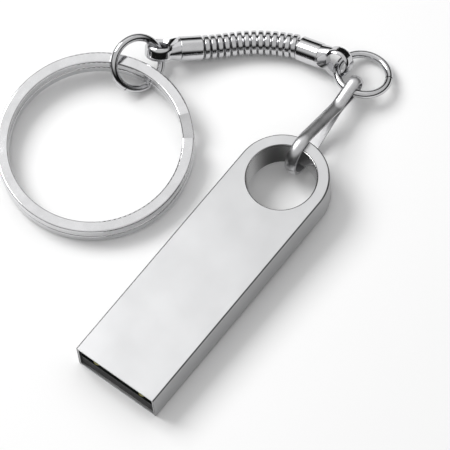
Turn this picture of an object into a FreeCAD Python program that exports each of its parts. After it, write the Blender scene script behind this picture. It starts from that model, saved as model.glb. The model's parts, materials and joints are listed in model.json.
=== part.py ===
import FreeCAD, Part
import math
import os
from FreeCAD import Placement, Rotation, Vector

# A slim metal USB flash drive on a short snake-chain lanyard with a split key ring.
# Millimetres, +Z up.  The origin is the centre of the plug's mouth, +X runs from the
# mouth to the drive's round end.  Everything lies as it would on a table: the drive is
# tipped a little, because the lower leg of its clip passes under its rim.

# ---- drive ----------------------------------------------------------------------
PLUG_W = 12.0            # width of the metal plug, and of the whole drive
PLUG_H = 4.5             # height of the metal plug
DRIVE_L = 39.0           # mouth to round end
WALL = 0.3               # sheet wall round the plug's cavity
CAVITY_L = 27.0          # depth of the cavity, measured from the mouth
KEYHOLE_R = 4.4          # hole in the round end
EDGE_R = 0.2             # rounding of the long outer edges
LIP_R = 0.1              # rounding of the mouth's inner edge and of the keyhole

# ---- what the drive holds ---------------------------------------------------------
GLUE_T = 0.05            # glue film between carrier and housing
GLUE_L = 11.0
GLUE_INSET = 1.0         # from the carrier's two sides
GAP_H = 1.95             # free height over the tongue, which the port's own tongue fills
GAP_L = 12.2             # free length of that gap
SIDE_PLAY = 0.05         # carrier to housing, each side
TONGUE_SETBACK = 0.25    # tongue's front edge behind the mouth
CARRIER_REAR = 0.15      # carrier's back to the end of the cavity
MODULE_L = 24.8          # one-piece memory module
MODULE_T = 1.4
SUBSTRATE_T = 0.3
CONTACT_T = 0.03
CONTACT_W = 1.3
CONTACT_OUTER_Y = 3.5    # power and ground contacts, from the middle
CONTACT_INNER_Y = 1.0    # data contacts, from the middle
CONTACT_OUTER_L = 7.9
CONTACT_INNER_L = 6.4
CONTACT_END_X = 8.0      # all four contacts end here, from the tongue's front edge
DIE_T = 0.12
FLASH_L = 11.6
FLASH_W = 8.6
FLASH_MARGIN = 1.2       # first flash die to the module's rear edge
FLASH_STEP = 0.6         # the second die lies this much further forward
CONTROLLER_L = 3.2
CONTROLLER_W = 2.9
CONTROLLER_X = 7.4       # its middle, from the tongue's front edge
CONTROLLER_Y = 0.6
CAPACITOR_L = 1.0
CAPACITOR_W = 0.5
CAPACITOR_T = 0.5
SMALL_PART_X = (3.4, 10.2)   # middles of the two rows, from the tongue's front edge
SMALL_PART_Y = 3.6

# ---- clip: one half-round strip bent into a closed bail ---------------------------
STRIP_W = 1.5
STRIP_T = 0.6
STRIP_EDGE_T = 0.32      # thickness left at the strip's two edges
RIM_LOOP_PLAY = 0.07     # clip's large loop to the corners of the rim it holds
TIP_GAP = 0.12           # slit where the strip's two tips meet
WAIST_X = 7.9            # pinch, from the middle of the rim
WAIST_GAP = 0.16
WAIST_R = 2.2
EYE_LOOP_X = 11.5        # centre of the small loop's end, from the middle of the rim
EYE_LOOP_R = 0.74
CLIP_Y = 0.85            # where the clip sits along the rim
CLIP_YAW = 3.4
CLIP_PITCH = 2.7         # its small loop hangs this much lower than the rim

# ---- jump rings -------------------------------------------------------------------
JUMP_R = 3.3             # to the middle of the wire
WIRE_R = 0.5
JUMP_SLIT = 0.12         # where the ring's two ends meet
SLIT_A_DEG = -60.0       # where that is, from each ring's own +X
SLIT_B_DEG = 200.0

# ---- ferrules ---------------------------------------------------------------------
BARREL_R = 1.6
FERRULE_L = 5.35         # mouth to the eye's centre
LUG_W = 3.9
LUG_T = 2.0
EYE_R = 1.4              # hole through the lug
EYE_SINK = 0.45          # countersink on both faces
NECK_L = 2.4             # from the eye to the round barrel
NECK_INSET = 0.07        # neck's surface below the lug's and the barrel's
LUG_ROUND = 0.6
MOUTH_ROUND = 0.15
FERRULE_GAP = 0.42       # mouth of the first ferrule to its first link

# ---- snake chain ------------------------------------------------------------------
LINKS = 14
PITCH = 0.88
LINK_R = 1.55
BEAD_L = 0.64
BEAD_ROUND = 0.14
BORE_R = 1.18            # what a collar turns in
COLLAR_PLAY = 0.06
COLLAR_SHORT = 0.08      # a link's collar stops this far before its pivot
FIRST_COLLAR_SHORT = 0.2
PASSAGE_R = 0.7          # hole through every link
WEB_IN = 0.12            # end of a bore, past the middle of its bead
FIRST_HEADING = 100.1    # of the first ferrule, about Z from +X
FIRST_BEND = 14.0
LINK_BEND = 2.5          # sideways bend from each link to the next
FIRST_DIP = 5.0          # the first link slopes down this much
DIP_BEND = 2.5           # and the next ones less and less
RISE_FROM = 10           # links from this one on climb towards the second ferrule
RISE_BEND = 2.2          # upwards, from each of those to the next
LAST_BEND = 0.3          # and sideways

# ---- split ring: a flat-section wire wound twice ------------------------------------
SPLIT_R = 12.4           # outside
COIL_W = 1.5
COIL_T = 1.38
COIL_ROUND = 0.22
COIL_GAP = 0.03          # between the two turns
RAMP_TOP_DEG = -34.0
RAMP_LOW_DEG = -51.0
END_GAP_DEG = 0.9
RAMP_STEPS = 8

# ---- places on the table ------------------------------------------------------------
RING_A = (51.88, 1.84, 1.74)          # centre of the jump ring at the clip, x, y, height
RING_A_AXIS = (0.25, 0.0, 0.97)
EYE_A_ROLL = -62.9
FERRULE_A = (50.16, 10.40, 1.8)        # mouth of the first ferrule
FERRULE_A_RISE = 8.0                  # its eye lies higher than its mouth
RING_B = (35.71, 25.09, 3.05)          # centre of the jump ring at the key ring
RING_B_AXIS = (-0.156, -0.72, 0.654)
EYE_B_ROLL = -37.9
SPLIT_CENTRE = (23.9, 22.4)
SPLIT_LIFT = 1.25                     # under the key ring, where a jump ring passes
SPLIT_LIFT_HEADING = 13.3

# ---- worked out ---------------------------------------------------------------------
ROUND_R = PLUG_W / 2
HOLE_X = DRIVE_L - ROUND_R
RIM_R = (KEYHOLE_R + ROUND_R) / 2
RIM_W = ROUND_R - KEYHOLE_R
RIM_LOOP_R = math.hypot(RIM_W, PLUG_H) / 2 + RIM_LOOP_PLAY
RIM_X = HOLE_X + math.sqrt(RIM_R ** 2 - CLIP_Y ** 2)
TILT = math.degrees(math.asin((RIM_LOOP_R + STRIP_T - PLUG_H / 2) / RIM_X))
TABLE_Z = -PLUG_H / 2 * math.cos(math.radians(TILT))
CARRIER_W = PLUG_W - 2 * WALL - 2 * SIDE_PLAY
FLOOR_Z = WALL
TONGUE_Z = PLUG_H - WALL - GAP_H
MODULE_Z = TONGUE_Z - MODULE_T
MODULE_X = TONGUE_SETBACK
COLLAR_R = BORE_R - COLLAR_PLAY

os.makedirs("parts", exist_ok=True)
nodes = {}


def unit(heading, rise=0.0):
    """Unit vector at a heading about Z, climbing by rise; degrees."""
    h, r = math.radians(heading), math.radians(rise)
    return Vector(math.cos(r) * math.cos(h), math.cos(r) * math.sin(h), math.sin(r))


def axes(origin, x_axis, z_near):
    """Placement whose local +X is x_axis and whose local +Z lies as near z_near as it can."""
    return Placement(origin, Rotation(x_axis, Vector(), z_near, "XZY"))


def on_table(spot):
    """A place on the table from its x, y and height."""
    return Vector(spot[0], spot[1], TABLE_Z + spot[2])


def box(x0, x1, y0, y1, z0, z1):
    return Part.makeBox(x1 - x0, y1 - y0, z1 - z0, Vector(x0, y0, z0))


def centred_box(x, y, length, width, z0, z1):
    return box(x - length / 2, x + length / 2, y - width / 2, y + width / 2, z0, z1)


def one_solid(shape):
    """The shape's only solid, with split faces joined up again."""
    return shape.removeSplitter().Solids[0]


def save(name, shape, place=Placement()):
    placed = shape.copy()
    placed.Placement = place.multiply(placed.Placement)
    nodes[name] = placed


# The drive is drawn level, resting on z = 0, and then set down tipped.
DRIVE = Placement(Vector(0, 0, 0), Rotation(Vector(0, 1, 0), -TILT))
DRIVE = DRIVE.multiply(Placement(Vector(0, 0, -PLUG_H / 2), Rotation()))


def drive_outline():
    """Closed outline of the drive from above: a strip with one round end."""
    y = ROUND_R
    corners = [Vector(0, -y, 0), Vector(HOLE_X, -y, 0), Vector(HOLE_X, y, 0), Vector(0, y, 0)]
    round_end = Part.Arc(corners[1], Vector(DRIVE_L, 0, 0), corners[2]).toShape()
    sides = [Part.makeLine(corners[0], corners[1]), Part.makeLine(corners[2], corners[3])]
    mouth = Part.makeLine(corners[3], corners[0])
    return Part.Wire([sides[0], round_end, sides[1], mouth])


def is_mouth_edge(edge):
    return edge.BoundBox.XMax < 1e-6


def housing():
    body = Part.Face(drive_outline()).extrude(Vector(0, 0, PLUG_H))
    body = body.makeFillet(EDGE_R, [e for e in body.Edges if not is_mouth_edge(e)])
    keyhole = Part.makeCylinder(KEYHOLE_R, PLUG_H, Vector(HOLE_X, 0, 0))
    body = body.cut(keyhole)
    rims = [e for e in body.Edges if abs(e.BoundBox.XLength - 2 * KEYHOLE_R) < 1e-4]
    rims = [e for e in rims if e.BoundBox.ZLength < 1e-6]
    body = body.makeFillet(LIP_R, rims)
    y = ROUND_R - WALL
    cavity = box(-1, CAVITY_L, -y, y, WALL, PLUG_H - WALL)
    return one_solid(body.cut(cavity))


def carrier():
    """Black insert: a floor under the module and a block over its rear, glued in."""
    y = CARRIER_W / 2
    x0, x1 = MODULE_X, CAVITY_L - CARRIER_REAR
    top = PLUG_H - WALL - GLUE_T
    block = box(x0, x1, -y, y, FLOOR_Z, top)
    gap = box(x0 - 1, x0 + GAP_L, -y - 1, y + 1, TONGUE_Z, top + 1)
    module_slot = box(x0 - 1, MODULE_X + MODULE_L, -y - 1, y + 1, MODULE_Z, TONGUE_Z)
    return one_solid(block.cut(gap).cut(module_slot))


def glue_film():
    x0 = MODULE_X + GAP_L + GLUE_INSET
    top = PLUG_H - WALL
    return centred_box(x0 + GLUE_L / 2, 0, GLUE_L, CARRIER_W - 2 * GLUE_INSET, top - GLUE_T, top)


def substrate():
    y = CARRIER_W / 2
    return box(MODULE_X, MODULE_X + MODULE_L, -y, y, TONGUE_Z - SUBSTRATE_T, TONGUE_Z)


def contact(y, length):
    """A gold contact on the tongue, with a half-round front end."""
    x1 = MODULE_X + CONTACT_END_X
    x0 = x1 - length
    r = CONTACT_W / 2
    bar = box(x0 + r, x1, y - r, y + r, TONGUE_Z, TONGUE_Z + CONTACT_T)
    nose = Part.makeCylinder(r, CONTACT_T, Vector(x0 + r, y, TONGUE_Z))
    return one_solid(bar.fuse(nose))


def chips():
    """What sits under the substrate, inside the moulding: name to solid."""
    ceiling = TONGUE_Z - SUBSTRATE_T
    flash_x = MODULE_X + MODULE_L - FLASH_MARGIN - FLASH_L / 2
    found = {}
    for level, name in enumerate(("flash_die_first", "flash_die_second")):
        z1 = ceiling - level * DIE_T
        shift = FLASH_STEP * level
        found[name] = centred_box(flash_x - shift, 0, FLASH_L, FLASH_W, z1 - DIE_T, z1)
    found["controller_die"] = centred_box(MODULE_X + CONTROLLER_X, CONTROLLER_Y, CONTROLLER_L,
                                          CONTROLLER_W, ceiling - DIE_T, ceiling)
    near, far = SMALL_PART_X
    spots = {"capacitor_supply": (near, SMALL_PART_Y), "capacitor_core": (near, -SMALL_PART_Y),
             "capacitor_flash": (far, SMALL_PART_Y), "resistor_pull_up": (far, -SMALL_PART_Y)}
    for name, (x, y) in spots.items():
        found[name] = centred_box(MODULE_X + x, y, CAPACITOR_L, CAPACITOR_W,
                                  ceiling - CAPACITOR_T, ceiling)
    return found


def moulding(inner):
    """Resin that fills the module under its substrate, round the chips."""
    y = CARRIER_W / 2
    block = box(MODULE_X, MODULE_X + MODULE_L, -y, y, MODULE_Z, TONGUE_Z - SUBSTRATE_T)
    return one_solid(block.cut(list(inner.values())))


def strip_section():
    """Half-round section of the clip's strip: flat on z = 0, crowned above, in the YZ plane."""
    y = STRIP_W / 2
    points = [Vector(0, -y, 0), Vector(0, y, 0), Vector(0, y, STRIP_EDGE_T),
              Vector(0, 0, STRIP_T), Vector(0, -y, STRIP_EDGE_T)]
    crown = Part.Arc(points[2], points[3], points[4]).toShape()
    flat = [Part.makeLine(points[i], points[j]) for i, j in ((4, 0), (0, 1), (1, 2))]
    return Part.Face(Part.Wire(flat + [crown]))


def crossing_tangent(below, r_below, above, r_above):
    """Line that touches one circle's top and the other's underside: its two touch points."""
    reach = above - below
    n = (r_below + r_above) / reach.Length
    along = Vector(reach).normalize()
    up = Vector(-along.z, 0, along.x)
    if up.z < 0:
        up = up.negative()
    normal = along * n + up * math.sqrt(1 - n * n)
    return below + normal * r_below, above - normal * r_above


def straight_run(section, start, end):
    """The strip along a straight run, crowned side to the left of start to end."""
    run = end - start
    lean = -math.degrees(math.atan2(run.z, run.x))
    piece = section.extrude(Vector(run.Length, 0, 0))
    piece.Placement = Placement(start, Rotation(Vector(0, 1, 0), lean))
    return piece


def bent_run(section, centre, radius, from_deg, to_deg, crown_out=True):
    """The strip round an arc, angles about centre from +X towards +Z."""
    start = section.copy()
    if crown_out:
        start.Placement = Placement(Vector(0, 0, radius), Rotation())
    else:
        start.Placement = Placement(Vector(0, 0, -radius), Rotation())
    bent = start.revolve(Vector(0, 0, 0), Vector(0, -1, 0), to_deg - from_deg)
    turned = from_deg - (90 if crown_out else 270)
    bent.Placement = Placement(centre, Rotation(Vector(0, 1, 0), -turned))
    return bent


def angle_of(point, centre):
    return math.degrees(math.atan2(point.z - centre.z, point.x - centre.x))


def clip():
    """Bail about its own rim pivot: large loop at the origin, small loop out along +X."""
    section = strip_section()
    rim = Vector(0, 0, 0)
    waist = Vector(WAIST_X, 0, WAIST_GAP / 2 + WAIST_R)
    eye = Vector(EYE_LOOP_X, 0, 0)
    leave, touch = crossing_tangent(rim, RIM_LOOP_R, waist, WAIST_R)
    arrive, depart = crossing_tangent(eye, EYE_LOOP_R, waist, WAIST_R)
    tip = math.degrees(math.asin(TIP_GAP / 2 / RIM_LOOP_R))
    half = [
        bent_run(section, rim, RIM_LOOP_R, angle_of(leave, rim), 180 - tip),
        straight_run(section, leave, touch),
        bent_run(section, waist, WAIST_R, angle_of(touch, waist), angle_of(depart, waist), False),
        straight_run(section, depart, arrive),
        bent_run(section, eye, EYE_LOOP_R, 0, angle_of(arrive, eye)),
    ]
    mirrored = [piece.mirror(Vector(0, 0, 0), Vector(0, 0, 1)) for piece in half]
    return one_solid(half[0].fuse(half[1:] + mirrored))


def jump_ring(slit_deg):
    """Ring about its own Z axis with a fine slit at an angle from its +X."""
    gap = math.degrees(JUMP_SLIT / JUMP_R)
    wire = Part.Wire(Part.makeCircle(WIRE_R, Vector(JUMP_R, 0, 0), Vector(0, 1, 0)))
    ring = Part.Face(wire).revolve(Vector(0, 0, 0), Vector(0, 0, 1), 360 - gap)
    ring.Placement = Placement(Vector(), Rotation(Vector(0, 0, 1), slit_deg + gap / 2))
    return Part.Solid(ring) if ring.ShapeType != "Solid" else ring


def link():
    """One chain link along +X: a rounded bead with a bore, and a collar for the next bore."""
    half = BEAD_L / 2
    bead = Part.makeCylinder(LINK_R, BEAD_L, Vector(-half, 0, 0), Vector(1, 0, 0))
    bead = bead.makeFillet(BEAD_ROUND, round_edges(bead))
    bore = Part.makeCylinder(BORE_R, 1 + half + WEB_IN, Vector(-half - 1, 0, 0), Vector(1, 0, 0))
    passage = Part.makeCylinder(PASSAGE_R, 4, Vector(-2, 0, 0), Vector(1, 0, 0))
    return one_solid(bead.cut(bore).fuse(collar(WEB_IN, PITCH, COLLAR_SHORT)).cut(passage))


def collar(start, pivot, short):
    """Ball-shaped collar along +X from start to just short of the pivot that it turns about."""
    ball = Part.makeSphere(COLLAR_R, Vector(pivot, 0, 0))
    reach = pivot - short - start
    return ball.common(Part.makeCylinder(LINK_R, reach, Vector(start, 0, 0), Vector(1, 0, 0)))


def round_edges(shape):
    return [edge for edge in shape.Edges if isinstance(edge.Curve, Part.Circle)]


def oval(x, half_width, half_height):
    """Closed oval wire across the X axis, its longer half width along Y."""
    curve = Part.Ellipse(Vector(), half_width, half_height).toShape()
    wire = Part.Wire([curve])
    wire.Placement = Placement(Vector(x, 0, 0), Rotation(Vector(1, 1, 1), 120))
    return wire


def ferrule(pivot):
    """End fitting along +X with its eye round the Z axis.  A pivot beyond the mouth gets a
    collar that reaches for it; a pivot inside the mouth gets a bore round it."""
    half_t = LUG_T / 2
    x_axis = Vector(1, 0, 0)
    barrel = Part.makeCylinder(BARREL_R, FERRULE_L - NECK_L, Vector(NECK_L, 0, 0), x_axis)
    barrel = barrel.makeFillet(MOUTH_ROUND, round_edges(barrel))
    lug = Part.makeCylinder(LUG_W / 2, LUG_T, Vector(0, 0, -half_t))
    lug = lug.makeFillet(LUG_ROUND, round_edges(lug))
    inset_r = BARREL_R - NECK_INSET
    sections = [oval(0, LUG_W / 2 - NECK_INSET, half_t - NECK_INSET),
                oval(NECK_L + NECK_INSET, inset_r, inset_r)]
    neck = Part.makeLoft(sections, True)
    body = barrel.fuse([neck, lug])
    eye = Part.makeCylinder(EYE_R, LUG_T + 2, Vector(0, 0, -half_t - 1))
    sinks = []
    for side in (1, -1):
        face = Vector(0, 0, side * (half_t - EYE_SINK))
        out = Vector(0, 0, side)
        sinks.append(Part.makeCone(EYE_R, EYE_R + 2 * EYE_SINK, 2 * EYE_SINK, face, out))
    body = body.cut([eye] + sinks)
    if pivot > FERRULE_L:
        body = body.fuse(collar(FERRULE_L - 0.1, pivot, FIRST_COLLAR_SHORT))
        hollow = Part.makeCylinder(PASSAGE_R, 4, Vector(FERRULE_L - 1.2, 0, 0), x_axis)
    else:
        hollow = Part.makeCylinder(BORE_R, 4, Vector(pivot - WEB_IN, 0, 0), x_axis)
    return one_solid(body.cut(hollow))


def coil_section(angle, z):
    """Rounded section of the split ring's wire at an angle about Z, its middle at height z."""
    w, t, r = COIL_W / 2, COIL_T / 2, COIL_ROUND
    corners = [(w - r, t - r, 0), (-w + r, t - r, 90), (-w + r, -t + r, 180), (w - r, -t + r, 270)]
    arcs = []
    for x, y, start in corners:
        arcs.append(Part.makeCircle(r, Vector(x, y, 0), Vector(0, 0, 1), start, start + 90))
    edges = []
    for i, arc in enumerate(arcs):
        edges += [arc, Part.makeLine(arc.Vertexes[-1].Point, arcs[(i + 1) % 4].Vertexes[0].Point)]
    wire = Part.Wire(edges)
    upright = Placement(Vector(SPLIT_R - w, 0, z), Rotation(Vector(1, 0, 0), 90))
    wire.Placement = Placement(Vector(), Rotation(Vector(0, 0, 1), angle)).multiply(upright)
    return wire


def split_ring():
    """Two turns of flat wire on top of each other, joined by one ramp; bottom on z = 0."""
    low, high = COIL_T / 2, COIL_T * 1.5 + COIL_GAP
    axis = Vector(0, 0, 1)
    turn = 360 - (RAMP_TOP_DEG - RAMP_LOW_DEG) - END_GAP_DEG
    upper = Part.Face(coil_section(RAMP_TOP_DEG, high)).revolve(Vector(), axis, turn)
    lower = Part.Face(coil_section(RAMP_LOW_DEG, low)).revolve(Vector(), axis, -turn)
    sections = []
    for i in range(RAMP_STEPS + 1):
        t = i / RAMP_STEPS
        rise = t * t * (3 - 2 * t)
        angle = RAMP_LOW_DEG + (RAMP_TOP_DEG - RAMP_LOW_DEG) * t
        sections.append(coil_section(angle, low + (high - low) * rise))
    ramp = Part.makeLoft(sections, True)
    return one_solid(upper.fuse([lower, ramp]))


def chain_places():
    """Placement of every link, then of the second ferrule's pivot, from the first ferrule on."""
    places = []
    spot = MOUTH_A + DIRECTION_A * (FERRULE_GAP + BEAD_L / 2)
    heading = FIRST_HEADING + FIRST_BEND
    for i in range(1, LINKS + 2):
        dip = max(0.0, FIRST_DIP - (i - 1) * DIP_BEND)
        rise = max(0, i + 1 - RISE_FROM) * RISE_BEND - dip
        forward = unit(heading, rise)
        places.append(axes(spot, forward, Vector(0, 0, 1)))
        spot = spot + forward * PITCH
        heading += LINK_BEND if i < RISE_FROM else LAST_BEND
    return places


# ---- the drive ------------------------------------------------------------------------
inner = chips()
save("housing", housing(), DRIVE)
save("carrier", carrier(), DRIVE)
save("glue_film", glue_film(), DRIVE)
save("module_substrate", substrate(), DRIVE)
save("module_moulding", moulding(inner), DRIVE)
for name, solid in inner.items():
    save(name, solid, DRIVE)
save("contact_power", contact(CONTACT_OUTER_Y, CONTACT_OUTER_L), DRIVE)
save("contact_data_minus", contact(CONTACT_INNER_Y, CONTACT_INNER_L), DRIVE)
save("contact_data_plus", contact(-CONTACT_INNER_Y, CONTACT_INNER_L), DRIVE)
save("contact_ground", contact(-CONTACT_OUTER_Y, CONTACT_OUTER_L), DRIVE)

# ---- the lanyard ------------------------------------------------------------------------
CLIP_PIVOT = DRIVE.multVec(Vector(RIM_X, CLIP_Y, PLUG_H / 2))
CLIP = axes(CLIP_PIVOT, unit(CLIP_YAW, -CLIP_PITCH), Vector(0, 0, 1))
save("clip", clip(), CLIP)

RING_A_PLACE = Placement(on_table(RING_A), Rotation(Vector(1, 0, 0), Vector(), Vector(*RING_A_AXIS), "ZXY"))
save("jump_ring_clip_side", jump_ring(SLIT_A_DEG), RING_A_PLACE)

MOUTH_A = on_table(FERRULE_A)
DIRECTION_A = unit(FIRST_HEADING, -FERRULE_A_RISE)
EYE_A = MOUTH_A - DIRECTION_A * FERRULE_L
ROLL_A = Placement(Vector(), Rotation(Vector(1, 0, 0), EYE_A_ROLL))
FERRULE_A_PLACE = axes(EYE_A, DIRECTION_A, Vector(0, 0, 1)).multiply(ROLL_A)
PIVOT_A = FERRULE_L + FERRULE_GAP + BEAD_L / 2
save("ferrule_clip_side", ferrule(PIVOT_A), FERRULE_A_PLACE)

PLACES = chain_places()
one_link = link()
for number, place in enumerate(PLACES[:LINKS], 1):
    save("chain_link_%02d" % number, one_link, place)

PIVOT_B = FERRULE_L - BEAD_L / 2
DIRECTION_B = PLACES[-1].Rotation.multVec(Vector(-1, 0, 0))
EYE_B = PLACES[-1].Base - DIRECTION_B * PIVOT_B
ROLL_B = Placement(Vector(), Rotation(Vector(1, 0, 0), EYE_B_ROLL))
FERRULE_B_PLACE = axes(EYE_B, DIRECTION_B, Vector(0, 0, 1)).multiply(ROLL_B)
save("ferrule_ring_side", ferrule(PIVOT_B), FERRULE_B_PLACE)

RING_B_PLACE = Placement(on_table(RING_B), Rotation(Vector(1, 0, 0), Vector(), Vector(*RING_B_AXIS), "ZXY"))
save("jump_ring_ring_side", jump_ring(SLIT_B_DEG), RING_B_PLACE)

SPLIT_TILT = math.degrees(math.asin(SPLIT_LIFT / (2 * SPLIT_R)))
lean = Rotation(unit(SPLIT_LIFT_HEADING + 90), -SPLIT_TILT)
centre = (SPLIT_CENTRE[0], SPLIT_CENTRE[1], SPLIT_LIFT / 2)
SPLIT_PLACE = Placement(on_table(centre), lean)
save("split_ring", split_ring(), SPLIT_PLACE)

for name, shape in nodes.items():
    shape.exportStep("parts/%s.step" % name)
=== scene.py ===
"""A slim metal USB flash drive with its clip, jump rings, snake chain and split key ring.

Everything is in metres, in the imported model's own frame: the origin is the middle of the
plug's mouth, +X runs to the drive's round end, +Z is up.
"""
import json
import math

import bpy
from mathutils import Matrix, Vector


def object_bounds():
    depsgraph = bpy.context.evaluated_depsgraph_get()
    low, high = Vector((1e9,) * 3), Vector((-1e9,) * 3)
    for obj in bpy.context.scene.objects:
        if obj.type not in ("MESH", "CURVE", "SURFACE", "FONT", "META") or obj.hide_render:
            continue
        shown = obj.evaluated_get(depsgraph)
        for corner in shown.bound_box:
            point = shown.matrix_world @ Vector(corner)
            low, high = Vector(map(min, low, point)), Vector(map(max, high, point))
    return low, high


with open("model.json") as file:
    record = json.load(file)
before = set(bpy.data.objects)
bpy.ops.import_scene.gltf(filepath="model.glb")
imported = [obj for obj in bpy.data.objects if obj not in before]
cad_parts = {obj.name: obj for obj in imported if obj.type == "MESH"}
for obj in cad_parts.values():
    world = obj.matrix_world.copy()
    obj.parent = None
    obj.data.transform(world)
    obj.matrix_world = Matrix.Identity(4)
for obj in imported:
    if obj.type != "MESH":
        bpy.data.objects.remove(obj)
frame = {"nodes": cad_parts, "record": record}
cad_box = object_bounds()

MM = 0.001
TABLE_Z = cad_box[0][2]

# ---- camera ---------------------------------------------------------------------------
CAMERA_AZ = -136.46          # degrees about Z from +X, where the camera stands
CAMERA_EL = 63.39
CAMERA_ROLL = 6.09
CAMERA_DISTANCE = 557.99 * MM
CAMERA_LENS = 360.0          # on a 36 mm sensor
AIM = Vector((25.53 * MM, 3.32 * MM, TABLE_Z))


def make_camera():
    az, el, roll = (math.radians(a) for a in (CAMERA_AZ, CAMERA_EL, CAMERA_ROLL))
    back = Vector((math.cos(el) * math.cos(az), math.cos(el) * math.sin(az), math.sin(el)))
    level = Vector((0, 0, 1)).cross(back).normalized()
    steep = back.cross(level)
    right = level * math.cos(roll) - steep * math.sin(roll)
    up = level * math.sin(roll) + steep * math.cos(roll)
    spot = AIM + back * CAMERA_DISTANCE
    data = bpy.data.cameras.new("camera")
    data.sensor_width = 36.0
    data.lens = CAMERA_LENS
    data.clip_start = 0.01
    data.clip_end = 10.0
    camera = bpy.data.objects.new("camera", data)
    camera.matrix_world = Matrix((
        (right.x, up.x, back.x, spot.x),
        (right.y, up.y, back.y, spot.y),
        (right.z, up.z, back.z, spot.z),
        (0, 0, 0, 1)))
    bpy.context.collection.objects.link(camera)
    bpy.context.scene.camera = camera


# ---- node helpers ---------------------------------------------------------------------
class Nodes:
    """Short ways to build one node tree."""

    def __init__(self, name, world=False):
        if world:
            owner = bpy.data.worlds.new(name)
        else:
            owner = bpy.data.materials.new(name)
        owner.use_nodes = True
        self.owner = owner
        self.tree = owner.node_tree
        self.tree.nodes.clear()

    def node(self, kind, **values):
        made = self.tree.nodes.new(kind)
        for name, value in values.items():
            setattr(made, name, value)
        return made

    def link(self, source, target):
        self.tree.links.new(source, target)

    def math(self, operation, first, second=None):
        made = self.node("ShaderNodeMath", operation=operation)
        for i, value in enumerate((first, second)):
            if value is None:
                continue
            if isinstance(value, (int, float)):
                made.inputs[i].default_value = value
            else:
                self.link(value, made.inputs[i])
        return made.outputs[0]

    def noise(self, where, scale, detail=2.0, rough=0.5, stretch=None):
        if stretch:
            mapping = self.node("ShaderNodeMapping")
            mapping.inputs["Scale"].default_value = stretch
            self.link(where, mapping.inputs["Vector"])
            where = mapping.outputs[0]
        made = self.node("ShaderNodeTexNoise")
        made.inputs["Scale"].default_value = scale
        made.inputs["Detail"].default_value = detail
        made.inputs["Roughness"].default_value = rough
        self.link(where, made.inputs["Vector"])
        return made.outputs["Fac"]

    def remap(self, value, low, high, to_low, to_high):
        made = self.node("ShaderNodeMapRange", clamp=True)
        self.link(value, made.inputs["Value"])
        for name, number in zip(("From Min", "From Max", "To Min", "To Max"),
                                (low, high, to_low, to_high)):
            made.inputs[name].default_value = number
        return made.outputs[0]

    def mix(self, factor, first, second):
        made = self.node("ShaderNodeMix", data_type="RGBA")
        self.link(factor, made.inputs["Factor"])
        for socket, value in ((made.inputs[6], first), (made.inputs[7], second)):
            if isinstance(value, tuple):
                socket.default_value = (*value, 1.0)
            else:
                self.link(value, socket)
        return made.outputs[2]

    def bump(self, height, distance, strength):
        made = self.node("ShaderNodeBump")
        made.inputs["Distance"].default_value = distance
        made.inputs["Strength"].default_value = strength
        self.link(height, made.inputs["Height"])
        return made.outputs[0]

    def principled(self, **values):
        shader = self.node("ShaderNodeBsdfPrincipled")
        output = self.node("ShaderNodeOutputMaterial")
        self.link(shader.outputs[0], output.inputs["Surface"])
        for name, value in values.items():
            socket = shader.inputs[name.replace("_", " ")]
            if isinstance(value, (int, float)):
                socket.default_value = value
            elif isinstance(value, tuple):
                socket.default_value = (*value, 1.0)
            else:
                self.link(value, socket)
        return self.owner


def surface_point(nodes):
    """The point on the surface in the frame's own metres: each node's object is at the origin."""
    return nodes.node("ShaderNodeTexCoord").outputs["Object"]


# ---- materials ------------------------------------------------------------------------
# Painted reflection bands on the polished keyhole wall, round its axis: degrees from +X,
# brightness.
HOLE_PAINTED_REFLECTION = [(-60, 0.30), (-30, 0.60), (-5, 1.0), (20, 0.30), (42, 0.05), (66, 0.12),
              (82, 0.55), (94, 1.0), (112, 1.0), (126, 0.35), (150, 0.12)]
HOLE_X = 33.0 * MM
HOLE_WALL_R = (4.47 * MM, 4.50 * MM)
# Painted dark glint, radii of its soft edges: along the top's outer rim, and round the keyhole's
# rim.
PAINTED_EDGE_GLINT_R = (5.78 * MM, 5.84 * MM, 5.95 * MM, 5.99 * MM)
PAINTED_HOLE_RIM_GLINT_R = (4.44 * MM, 4.47 * MM, 4.53 * MM, 4.58 * MM)


def band(n, value, edges):
    """1 between the two middle edges, 0 outside the outer two."""
    low, full_from, full_to, high = edges
    return n.math("MULTIPLY", n.remap(value, low, full_from, 0.0, 1.0),
                  n.remap(value, full_to, high, 1.0, 0.0))


def painted_hole_reflection(n, x, y):
    """Painted reflection: brightness round the keyhole's axis."""
    turn = n.math("ARCTAN2", y, x)
    low, high = HOLE_PAINTED_REFLECTION[0][0], HOLE_PAINTED_REFLECTION[-1][0]
    place = n.remap(turn, math.radians(low), math.radians(high), 0.0, 1.0)
    ramp = n.node("ShaderNodeValToRGB")
    ramp.color_ramp.interpolation = "B_SPLINE"
    while len(ramp.color_ramp.elements) < len(HOLE_PAINTED_REFLECTION):
        ramp.color_ramp.elements.new(0.5)
    for element, (degrees, level) in zip(ramp.color_ramp.elements, HOLE_PAINTED_REFLECTION):
        element.position = (degrees - low) / (high - low)
        element.color = (level, level, level, 1.0)
    n.link(place, ramp.inputs[0])
    return ramp.outputs[0]


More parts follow.
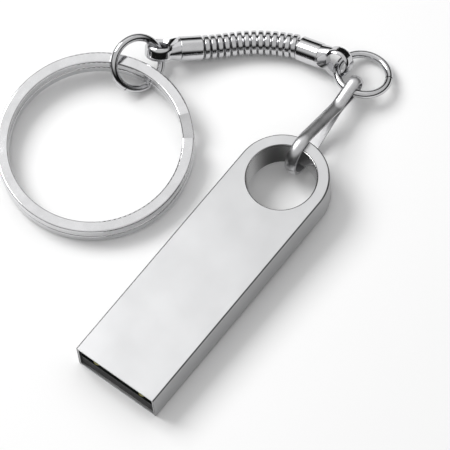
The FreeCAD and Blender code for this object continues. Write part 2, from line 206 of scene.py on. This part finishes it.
def satin_steel():
    """Fine-blasted steel with painted reflection bands on the polished keyhole wall, and a
    painted dark glint along the top's rim and round the keyhole's rim.
    """
    n = Nodes("satin_steel")
    where = surface_point(n)
    split = n.node("ShaderNodeSeparateXYZ")
    n.link(where, split.inputs[0])
    x = n.math("SUBTRACT", split.outputs["X"], HOLE_X)
    y = split.outputs["Y"]
    y2 = n.math("MULTIPLY", y, y)
    radius = n.math("SQRT", n.math("ADD", n.math("MULTIPLY", x, x), y2))
    in_hole = n.remap(radius, *HOLE_WALL_R, 1.0, 0.0)
    past = n.math("MAXIMUM", x, 0.0)
    reach = n.math("SQRT", n.math("ADD", n.math("MULTIPLY", past, past), y2))
    # painted dark glint along the top's rim and round the keyhole's rim
    painted_glint = n.math("MAXIMUM", band(n, reach, PAINTED_EDGE_GLINT_R), band(n, radius, PAINTED_HOLE_RIM_GLINT_R))
    cloud = n.noise(where, 160.0, 3.0, 0.6)
    grain = n.noise(where, 9000.0, 2.0, 0.7)
    color = n.mix(n.remap(cloud, 0.3, 0.7, 0.0, 1.0), (0.50, 0.502, 0.508), (0.53, 0.532, 0.538))
    # painted reflection bands replace the steel colour on the keyhole wall
    color = n.mix(in_hole, color, painted_hole_reflection(n, x, y))
    # paint the dark glint over the colour, at 85 percent
    color = n.mix(n.math("MULTIPLY", painted_glint, 0.85), color, (0.03, 0.03, 0.03))
    rough = n.math("ADD", n.remap(cloud, 0.3, 0.7, 0.28, 0.34), n.remap(grain, 0.3, 0.7, 0, 0.05))
    rough = n.math("SUBTRACT", rough, n.math("MULTIPLY", in_hole, 0.16))
    height = n.math("MULTIPLY", grain, n.math("SUBTRACT", 1.0, in_hole))
    return n.principled(Base_Color=color, Metallic=1.0, Roughness=rough,
                        Normal=n.bump(height, 0.004 * MM, 0.6))


def polished_plate(name, tint, rough):
    """Bright nickel plate: even, with faint clouding and hairline marks."""
    n = Nodes(name)
    where = surface_point(n)
    cloud = n.noise(where, 420.0, 3.0, 0.6)
    marks = n.noise(where, 2500.0, 2.0, 0.6, stretch=(1.0, 0.25, 1.0))
    dim = tuple(c * 0.93 for c in tint)
    color = n.mix(n.remap(cloud, 0.35, 0.65, 0.0, 1.0), dim, tint)
    roughness = n.math("ADD", n.remap(cloud, 0.3, 0.7, rough, rough * 1.5),
                       n.remap(marks, 0.55, 0.75, 0.0, rough * 0.6))
    return n.principled(Base_Color=color, Metallic=1.0, Roughness=roughness,
                        Normal=n.bump(marks, 0.002 * MM, 0.35))


def moulded_plastic(name, color, rough):
    n = Nodes(name)
    where = surface_point(n)
    cloud = n.noise(where, 300.0, 2.0, 0.5)
    grain = n.noise(where, 5000.0, 2.0, 0.6)
    light = tuple(c * 1.35 for c in color)
    return n.principled(Base_Color=n.mix(cloud, color, light), Specular_IOR_Level=0.2,
                        Roughness=n.remap(grain, 0.3, 0.7, rough, rough + 0.12),
                        Normal=n.bump(grain, 0.006 * MM, 0.5))


def gold_plate():
    n = Nodes("gold_plate")
    where = surface_point(n)
    cloud = n.noise(where, 900.0, 3.0, 0.6)
    wipe = n.noise(where, 3000.0, 2.0, 0.6, stretch=(0.1, 1.0, 1.0))
    color = n.mix(cloud, (0.80, 0.74, 0.22), (0.93, 0.90, 0.38))
    return n.principled(Base_Color=color, Metallic=0.55,
                        Roughness=n.remap(wipe, 0.3, 0.7, 0.28, 0.42),
                        Normal=n.bump(wipe, 0.002 * MM, 0.5))


def paint_nodes():
    materials = {
        "housing_metal": satin_steel(),
        "carrier_plastic": moulded_plastic("carrier_plastic", (0.005, 0.005, 0.005), 0.45),
        "glue": moulded_plastic("glue", (0.55, 0.5, 0.38), 0.3),
        "solder_mask": moulded_plastic("solder_mask", (0.004, 0.006, 0.005), 0.4),
        "moulding_resin": moulded_plastic("moulding_resin", (0.005, 0.005, 0.005), 0.5),
        "silicon": moulded_plastic("silicon", (0.20, 0.21, 0.24), 0.15),
        "ceramic": moulded_plastic("ceramic", (0.42, 0.31, 0.20), 0.4),
        "gold_plate": gold_plate(),
        "clip_plate": polished_plate("clip_plate", (0.58, 0.58, 0.59), 0.26),
        "jump_ring_plate": polished_plate("jump_ring_plate", (0.58, 0.58, 0.59), 0.05),
        "ferrule_plate": polished_plate("ferrule_plate", (0.62, 0.62, 0.63), 0.08),
        "chain_plate": polished_plate("chain_plate", (0.56, 0.56, 0.57), 0.13),
        "split_ring_steel": polished_plate("split_ring_steel", (0.70, 0.70, 0.71), 0.08),
    }
    for part in frame["record"]["subparts"]:
        mesh = frame["nodes"][part["node"]].data
        mesh.materials.clear()
        mesh.materials.append(materials[part["material_slot"]])


# ---- floor and light ------------------------------------------------------------------
FLOOR_HALF = 1.2
LIGHT_DISTANCE = 0.5                   # from the camera's aim
KEY_LIGHT = (-0.08, 1.0, 1.15)         # from the key ring's side
OVERHEAD_LIGHT = (0.36, 0.35, 0.87)    # what the drive's top face mirrors
# the sky's brightness by the upward part of the direction
SKY = [(0.0, 0.01), (0.36, 0.01), (0.48, 0.30), (0.60, 0.74), (0.80, 0.80), (1.0, 0.74)]


def make_floor():
    mesh = bpy.data.meshes.new("floor")
    corners = [(x * FLOOR_HALF, y * FLOOR_HALF, TABLE_Z)
               for x, y in ((-1, -1), (1, -1), (1, 1), (-1, 1))]
    mesh.from_pydata(corners, [], [(0, 1, 2, 3)])
    floor = bpy.data.objects.new("floor", mesh)
    bpy.context.collection.objects.link(floor)
    n = Nodes("floor")
    soft = n.noise(surface_point(n), 30.0)
    color = n.mix(soft, (0.90, 0.90, 0.90), (0.92, 0.92, 0.92))
    mesh.materials.append(n.principled(Base_Color=color, Roughness=0.75, Specular_IOR_Level=0.25))


def area_light(name, towards, size, watts):
    """A square soft light in the given direction from the aim."""
    data = bpy.data.lights.new(name, "AREA")
    data.shape = "SQUARE"
    data.size = size
    data.energy = watts
    light = bpy.data.objects.new(name, data)
    direction = Vector(towards).normalized()
    light.location = AIM + direction * LIGHT_DISTANCE
    light.rotation_euler = direction.to_track_quat("Z", "Y").to_euler()
    bpy.context.collection.objects.link(light)


def make_light():
    area_light("key", KEY_LIGHT, 0.26, 1.65)
    area_light("overhead", OVERHEAD_LIGHT, 0.42, 0.16)
    n = Nodes("studio", world=True)
    direction = n.node("ShaderNodeTexCoord").outputs["Generated"]
    split = n.node("ShaderNodeSeparateXYZ")
    n.link(direction, split.inputs[0])
    ramp = n.node("ShaderNodeValToRGB")
    n.link(split.outputs["Z"], ramp.inputs[0])
    while len(ramp.color_ramp.elements) < len(SKY):
        ramp.color_ramp.elements.new(0.5)
    for element, (place, level) in zip(ramp.color_ramp.elements, SKY):
        element.position = place
        element.color = (level, level, level, 1.0)
    background = n.node("ShaderNodeBackground")
    n.link(ramp.outputs[0], background.inputs["Color"])
    background.inputs["Strength"].default_value = 1.0
    output = n.node("ShaderNodeOutputWorld")
    n.link(background.outputs[0], output.inputs["Surface"])
    bpy.context.scene.world = n.owner
    bpy.context.scene.view_settings.view_transform = "Standard"


make_camera()
paint_nodes()
make_floor()
make_light()
